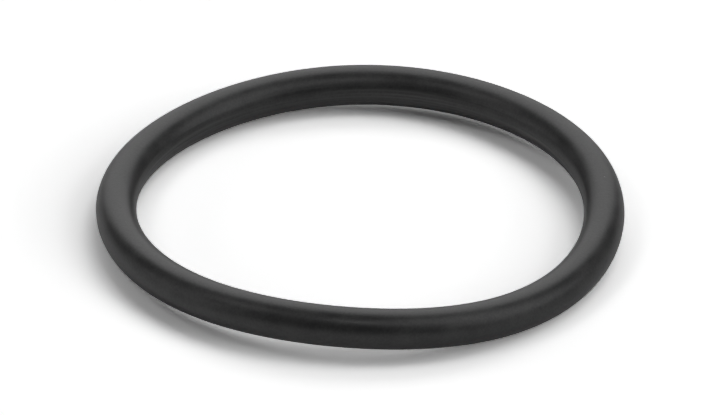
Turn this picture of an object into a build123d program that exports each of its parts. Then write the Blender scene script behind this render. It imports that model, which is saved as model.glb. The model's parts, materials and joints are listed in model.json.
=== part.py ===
from build123d import *
import math
import os

# A moulded rubber O-ring, unstretched and lying free on a flat surface.
#
# It is one solid ring of cord with a round section. Rubber keeps a little of
# the shape that it was stored in, so the cord's centreline is a true circle
# from above but rises and falls by about a millimetre in one turn: the ring
# bears on the surface at two opposite sides and stands clear between them.
#
# The ring's axis is +Z and passes through the origin. The surface that the
# ring lies on is z = 0. Azimuths are counted from +X towards +Y.
# Lengths are in millimetres and angles in degrees.

inner_diameter = 55.0  # across the hole
cord_diameter = 5.0  # across the round section

# The waves of the free lie. Each lifts the centreline by its height at its
# crests, and the azimuth is that of one crest.
saddle_height = 0.70  # two crests and two lows in a turn
saddle_azimuth = 60.5
trefoil_height = 0.22  # three crests: one side of the saddle stands higher
trefoil_azimuth = 19.0
quatrefoil_height = 0.14  # four crests: the saddle's lows are narrow
quatrefoil_azimuth = 1.5
lean_height = 0.27  # one crest: tips the ring until both its lows bear
lean_azimuth = 286.0

path_points = 24  # points of the centreline's closed curve
cord_spans = 2  # a sweep can't close on itself, so the cord is joined from equal spans

cord_radius = cord_diameter / 2
centreline_radius = inner_diameter / 2 + cord_radius


def wave(crests, height, crest_azimuth, azimuth):
    """The height at an azimuth of a wave with that many crests in a turn."""
    return height * math.cos(math.radians(crests * (azimuth - crest_azimuth)))


def lie(azimuth):
    """How far the centreline stands above its own mean plane."""
    return (
        wave(1, lean_height, lean_azimuth, azimuth)
        + wave(2, saddle_height, saddle_azimuth, azimuth)
        + wave(3, trefoil_height, trefoil_azimuth, azimuth)
        + wave(4, quatrefoil_height, quatrefoil_azimuth, azimuth)
    )


# The mean plane's height puts the underside of the lowest section on z = 0.
mean_plane_height = cord_radius - min(lie(azimuth) for azimuth in range(360))


def centre_point(azimuth):
    """The middle of the cord's section at an azimuth."""
    turn = math.radians(azimuth)
    return (
        centreline_radius * math.cos(turn),
        centreline_radius * math.sin(turn),
        mean_plane_height + lie(azimuth),
    )


def centreline():
    """The closed, smooth curve through the middle of the cord."""
    points = [centre_point(360 * i / path_points) for i in range(path_points)]
    return Spline(*points, periodic=True)


def cord_span(path, start, end):
    """The round cord along a stretch of the path, given as shares of its length."""
    stretch = path.trim(start, end)
    section = Plane(origin=stretch @ 0, z_dir=stretch % 0) * Circle(cord_radius)
    return sweep(section, path=stretch)


def o_ring():
    """The whole ring as one closed solid."""
    path = centreline()
    spans = [
        cord_span(path, i / cord_spans, (i + 1) / cord_spans)
        for i in range(cord_spans)
    ]
    return spans[0].fuse(*spans[1:])


os.makedirs("parts", exist_ok=True)
export_step(o_ring(), "parts/o_ring.step")
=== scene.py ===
import bmesh
import bpy
import json
from math import atan2, cos, hypot, pi, radians, sin
from mathutils import Matrix, Vector


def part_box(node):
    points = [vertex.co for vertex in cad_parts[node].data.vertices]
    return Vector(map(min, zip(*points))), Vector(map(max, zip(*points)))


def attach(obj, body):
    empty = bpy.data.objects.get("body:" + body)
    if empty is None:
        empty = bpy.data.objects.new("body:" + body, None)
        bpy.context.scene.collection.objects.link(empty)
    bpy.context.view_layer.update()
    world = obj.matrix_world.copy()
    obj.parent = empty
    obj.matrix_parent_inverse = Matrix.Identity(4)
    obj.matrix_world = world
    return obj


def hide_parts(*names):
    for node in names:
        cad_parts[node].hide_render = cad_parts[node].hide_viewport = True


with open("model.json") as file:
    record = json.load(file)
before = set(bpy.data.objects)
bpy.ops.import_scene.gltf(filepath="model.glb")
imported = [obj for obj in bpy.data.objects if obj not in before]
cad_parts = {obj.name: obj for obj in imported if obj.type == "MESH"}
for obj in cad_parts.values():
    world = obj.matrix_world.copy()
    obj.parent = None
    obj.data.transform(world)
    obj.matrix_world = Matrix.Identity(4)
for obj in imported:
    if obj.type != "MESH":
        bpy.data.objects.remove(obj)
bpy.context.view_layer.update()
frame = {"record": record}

# The ring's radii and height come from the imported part: its two seats and its box.
seats = {mount["name"]: mount["dims"]["r_mm"] / 1000 for mount in frame["record"]["mounts"]}
cordRadius = (seats["housing_bore"] - seats["shaft_groove"]) / 2
turnRadius = (seats["housing_bore"] + seats["shaft_groove"]) / 2  # of the cord's centreline
ringLow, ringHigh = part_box("o_ring")
print("part loaded: cord radius", cordRadius, "m, centreline radius", turnRadius, "m")


class Socket:
    # An output of a shader node. Sums written on it add Math nodes to its material.

    def __init__(self, nodeTree, output=None):
        self.nodeTree = nodeTree
        self.output = output

    def node(self, kind, settings=None, inputs=None, output=0):
        made = self.nodeTree.nodes.new(kind)
        for name, value in (settings or {}).items():
            setattr(made, name, value)
        for name, value in (inputs or {}).items():
            if isinstance(value, Socket):
                self.nodeTree.links.new(value.output, made.inputs[name])
            else:
                made.inputs[name].default_value = value
        return Socket(self.nodeTree, made.outputs[output] if len(made.outputs) else None)

    def math(self, operation, *values):
        return self.node("ShaderNodeMath", {"operation": operation}, dict(enumerate(values)))

    def __add__(self, other):
        return self.math("ADD", self, other)

    def __radd__(self, other):
        return self.math("ADD", other, self)

    def __sub__(self, other):
        return self.math("SUBTRACT", self, other)

    def __rsub__(self, other):
        return self.math("SUBTRACT", other, self)

    def __mul__(self, other):
        return self.math("MULTIPLY", self, other)

    def __rmul__(self, other):
        return self.math("MULTIPLY", other, self)


def newMaterial(name):
    material = bpy.data.materials.new(name)
    material.use_nodes = True
    material.node_tree.nodes.clear()
    return material, Socket(material.node_tree)


def noise(start, vector, scale, detail=2.0, roughness=0.5, w=None):
    settings = {"noise_dimensions": "3D" if w is None else "4D"}
    inputs = {"Vector": vector, "Scale": scale, "Detail": detail, "Roughness": roughness}
    if w is not None:
        inputs["W"] = w
    return start.node("ShaderNodeTexNoise", settings, inputs, "Fac")


def smoothRange(value, low, high, toLow=0.0, toHigh=1.0):
    # runs smoothly from toLow at low to toHigh at high
    return value.node("ShaderNodeMapRange", {"interpolation_type": "SMOOTHSTEP"},
                      {"Value": value, "From Min": low, "From Max": high, "To Min": toLow, "To Max": toHigh})


# The rubber ring: a round cord spun through a full turn, then raised and lowered along the same
# waves as the part. Along its inside and outside runs the hairline bead of the mould's parting line.
ringShape = {
    "sectionSides": 96,
    "turnSteps": 480,
    "waves": {1: (0.00027, 286.0), 2: (0.00070, 60.5), 3: (0.00022, 19.0), 4: (0.00014, 1.5)},  # crests: height, azimuth
    "beadHeight": {"inside": 0.000012, "outside": 0.000005},
}


def lieHeight(azimuth):
    return sum(height * cos(crests * (azimuth - radians(crestAzimuth)))
               for crests, (height, crestAzimuth) in ringShape["waves"].items())


def makeRing():
    ring = bmesh.new()
    upright = Matrix.Translation((turnRadius, 0, 0)) @ Matrix.Rotation(pi / 2, 4, "X")
    section = bmesh.ops.create_circle(ring, segments=ringShape["sectionSides"], radius=cordRadius, matrix=upright)
    acrossSection = sorted(section["verts"], key=lambda vertex: vertex.co.x)
    acrossSection[0].co.x -= ringShape["beadHeight"]["inside"]
    acrossSection[-1].co.x += ringShape["beadHeight"]["outside"]
    bmesh.ops.spin(ring, geom=ring.verts[:] + ring.edges[:], cent=(0, 0, 0), axis=(0, 0, 1), dvec=(0, 0, 0),
                   angle=2 * pi, steps=ringShape["turnSteps"], use_merge=True, use_duplicate=False)
    bmesh.ops.remove_doubles(ring, verts=ring.verts, dist=1e-6)
    bmesh.ops.recalc_face_normals(ring, faces=ring.faces)

    # where each point lies on the flat, newly moulded ring: outwards and upwards from the cord's middle
    cordPlace = ring.verts.layers.float_vector.new("cordPlace")
    for vertex in ring.verts:
        vertex[cordPlace] = (hypot(vertex.co.x, vertex.co.y) - turnRadius, vertex.co.z, 0)
        vertex.co.z += lieHeight(atan2(vertex.co.y, vertex.co.x))
    lowest = min(vertex.co.z for vertex in ring.verts)
    bmesh.ops.translate(ring, verts=ring.verts, vec=(0, 0, ringLow.z - lowest))
    for face in ring.faces:
        face.smooth = True

    mesh = bpy.data.meshes.new("rubberRing")
    ring.to_mesh(mesh)
    ring.free()
    piece = bpy.data.objects.new("rubberRing", mesh)
    bpy.context.scene.collection.objects.link(piece)
    return piece


rubberLook = {
    "darkColour": (0.0110, 0.0110, 0.0114, 1),
    "paleColour": (0.0250, 0.0248, 0.0248, 1),
    "mottleSize": 0.0030,  # metres across one patch
    "roughness": 0.40,
    "roughnessSpread": 0.08,
    "grainSize": 0.00030,
    "grainHeight": 0.000010,
    "flowLineSize": 0.00035,  # across the cord
    "flowLineLength": 0.030,  # along the cord
    "flowLineHeight": 0.000040,
    "flowLineColour": (0.0380, 0.0378, 0.0375, 1),
    "speckColour": (0.16, 0.155, 0.145, 1),
    "speckSpacing": 0.0075,
    "speckSize": 0.00012,
}


def makeRubber():
    look = rubberLook
    material, start = newMaterial("satinBlackRubber")
    place = start.node("ShaderNodeTexCoord", output="Object")

    # soft patches, where the mould left the skin a little duller and paler
    mottle = noise(start, place, 1 / look["mottleSize"], 3.0, 0.55)
    grain = noise(start, place, 1 / look["grainSize"], 2.0, 0.6)
    colour = start.node("ShaderNodeMix", {"data_type": "RGBA"},
                        {0: smoothRange(mottle * 0.5 + grain * 0.5, 0.35, 0.65), 6: look["darkColour"], 7: look["paleColour"]}, 2)

    # fine lines along the inside of the cord, beside the parting line: thin across it and long along it
    cordPlace = start.node("ShaderNodeAttribute", {"attribute_name": "cordPlace"}, output="Vector")
    across = cordPlace.node("ShaderNodeSeparateXYZ", inputs={0: cordPlace})
    outwards = across
    upwards = Socket(start.nodeTree, across.output.node.outputs["Y"])
    aroundX = place.node("ShaderNodeSeparateXYZ", inputs={0: place})
    aroundY = Socket(start.nodeTree, aroundX.output.node.outputs["Y"])
    alongScale = 1 / look["flowLineLength"]
    lineScale = 1 / look["flowLineSize"]
    linePlace = start.node("ShaderNodeCombineXYZ", inputs={0: outwards * lineScale, 1: upwards * lineScale,
                                                           2: aroundX * alongScale})
    lines = noise(start, linePlace, 1.0, 2.0, 0.6, w=aroundY * alongScale)
    insideWall = smoothRange(outwards, -0.97 * cordRadius, -0.70 * cordRadius, 1.0, 0.0)
    flowLines = lines * insideWall
    colour = start.node("ShaderNodeMix", {"data_type": "RGBA"},
                        {0: smoothRange(lines, 0.45, 0.7) * insideWall, 6: colour, 7: look["flowLineColour"]}, 2)

    # a few pale specks of dust
    specks = start.node("ShaderNodeTexVoronoi", {"feature": "F1"},
                        {"Vector": place, "Scale": 1 / look["speckSpacing"]}, "Distance")
    speckRadius = look["speckSize"] / look["speckSpacing"] / 2
    speckMask = smoothRange(specks, speckRadius, 2 * speckRadius, 1.0, 0.0)
    colour = start.node("ShaderNodeMix", {"data_type": "RGBA"}, {0: speckMask, 6: colour, 7: look["speckColour"]}, 2)

    roughness = look["roughness"] + (mottle - 0.5) * (2 * look["roughnessSpread"])
    height = grain * look["grainHeight"] + flowLines * look["flowLineHeight"]
    normal = start.node("ShaderNodeBump", {}, {"Strength": 1.0, "Distance": 1.0, "Height": height})
    shader = start.node("ShaderNodeBsdfPrincipled", {},
                        {"Base Color": colour, "Roughness": roughness, "Normal": normal})
    start.node("ShaderNodeOutputMaterial", {}, {"Surface": shader})
    return material


ring = makeRing()
ring.data.materials.append(makeRubber())
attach(ring, "root")
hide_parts("o_ring")
print("ring made:", len(ring.data.polygons), "faces")


floorLook = {
    "span": 6.0,
    "colour": (0.97, 0.97, 0.97, 1),
    "seenColour": (1.84, 1.84, 1.84, 1),  # straight from the camera, where the pale floor turns white
    "roughness": 0.9,
}


def makeFloor():
    grid = bmesh.new()
    bmesh.ops.create_grid(grid, x_segments=1, y_segments=1, size=floorLook["span"] / 2)
    mesh = bpy.data.meshes.new("floor")
    grid.to_mesh(mesh)
    grid.free()
    material, start = newMaterial("paleFloor")
    seen = start.node("ShaderNodeLightPath", output="Is Camera Ray")
    colour = start.node("ShaderNodeMix", {"data_type": "RGBA"},
                        {0: seen, 6: floorLook["colour"], 7: floorLook["seenColour"]}, 2)
    shader = start.node("ShaderNodeBsdfDiffuse", {}, {"Color": colour, "Roughness": floorLook["roughness"]})
    start.node("ShaderNodeOutputMaterial", {}, {"Surface": shader})
    mesh.materials.append(material)
    floor = bpy.data.objects.new("floor", mesh)
    bpy.context.scene.collection.objects.link(floor)


makeFloor()
print("floor made")


lightSetup = {
    "horizonStrength": 0.26,
    "skyStrength": 0.04,
    "skyStart": 0.40,  # how high the horizon's glow reaches, as the upward share of a direction
    "distance": 1.0,  # of each softbox from the ring
    "softboxes": {  # azimuth (0 is the front and 90 the right), elevation, width, height, watts
        "backHigh": (180, 52, 1.0, 0.5, 2.8),
        "rightHigh": (80, 55, 0.5, 0.5, 1.0),
        "leftHigh": (285, 55, 0.35, 0.35, 0.7),
    },
    "reflectorCards": {  # seen only in the rubber's gloss
        "backLow": (182, 23, 1.3, 0.6, 2.8),
        "right": (78, 28, 0.9, 0.5, 1.8),
        "left": (280, 20, 0.9, 0.5, 1.0),
        "frontRight": (40, 55, 0.5, 0.5, 0.52),
        "frontGlint": (2, 62, 0.10, 0.10, 0.50),
    },
    "shadowLamps": {  # cast the ring's shadow and aren't seen in its gloss
        "top": (100, 76, 0.5, 0.5, 1.3),
        "rightUp": (62, 34, 0.5, 0.5, 1.4),
        "leftLow": (262, 12, 0.5, 0.5, 2.2),
        "rightLow": (60, 12, 0.5, 0.5, 1.2),
        "high": (180, 58, 0.8, 0.5, 0.4),
    },
}


def directionTo(azimuth, elevation):
    return Vector((sin(radians(azimuth)) * cos(radians(elevation)),
                   -cos(radians(azimuth)) * cos(radians(elevation)), sin(radians(elevation))))


def makeLights():
    world = bpy.data.worlds.new("studio")
    world.use_nodes = True
    world.node_tree.nodes.clear()
    start = Socket(world.node_tree)
    direction = start.node("ShaderNodeTexCoord", output="Generated")
    upwards = direction.node("ShaderNodeSeparateXYZ", inputs={0: direction}, output="Z")
    strength = smoothRange(upwards, 0.0, lightSetup["skyStart"], lightSetup["horizonStrength"], lightSetup["skyStrength"])
    background = start.node("ShaderNodeBackground", inputs={"Strength": strength})
    start.node("ShaderNodeOutputWorld", inputs={"Surface": background})
    bpy.context.scene.world = world
    everyLamp = {**lightSetup["softboxes"], **lightSetup["reflectorCards"], **lightSetup["shadowLamps"]}
    for name, (azimuth, elevation, width, height, watts) in everyLamp.items():
        data = bpy.data.lights.new(name, "AREA")
        data.shape = "RECTANGLE"
        data.size = width
        data.size_y = height
        data.energy = watts
        lamp = bpy.data.objects.new(name, data)
        towards = directionTo(azimuth, elevation)
        lamp.location = towards * lightSetup["distance"]
        lamp.rotation_euler = towards.to_track_quat("Z", "Y").to_euler()
        lamp.visible_camera = False
        lamp.visible_diffuse = name not in lightSetup["reflectorCards"]
        lamp.visible_glossy = name not in lightSetup["shadowLamps"]
        bpy.context.scene.collection.objects.link(lamp)


makeLights()
print("lights made")


cameraSetup = {
    "aim": (-0.000027, 0, 0.003395),
    "distance": 1.8,
    "azimuth": -0.138,
    "elevation": 30.746,
    "roll": 1.023,
    "widthSeen": 0.08851,  # metres across the picture, at the aim
}


def makeCamera():
    data = bpy.data.cameras.new("camera")
    data.lens = data.sensor_width * cameraSetup["distance"] / cameraSetup["widthSeen"]
    camera = bpy.data.objects.new("camera", data)
    towards = directionTo(cameraSetup["azimuth"], cameraSetup["elevation"])
    camera.location = Vector(cameraSetup["aim"]) + towards * cameraSetup["distance"]
    level = towards.to_track_quat("Z", "Y").to_matrix().to_4x4()
    camera.rotation_euler = (level @ Matrix.Rotation(radians(cameraSetup["roll"]), 4, "Z")).to_euler()
    bpy.context.scene.collection.objects.link(camera)
    bpy.context.scene.camera = camera


makeCamera()
bpy.context.scene.view_settings.view_transform = "Standard"
print("camera made")
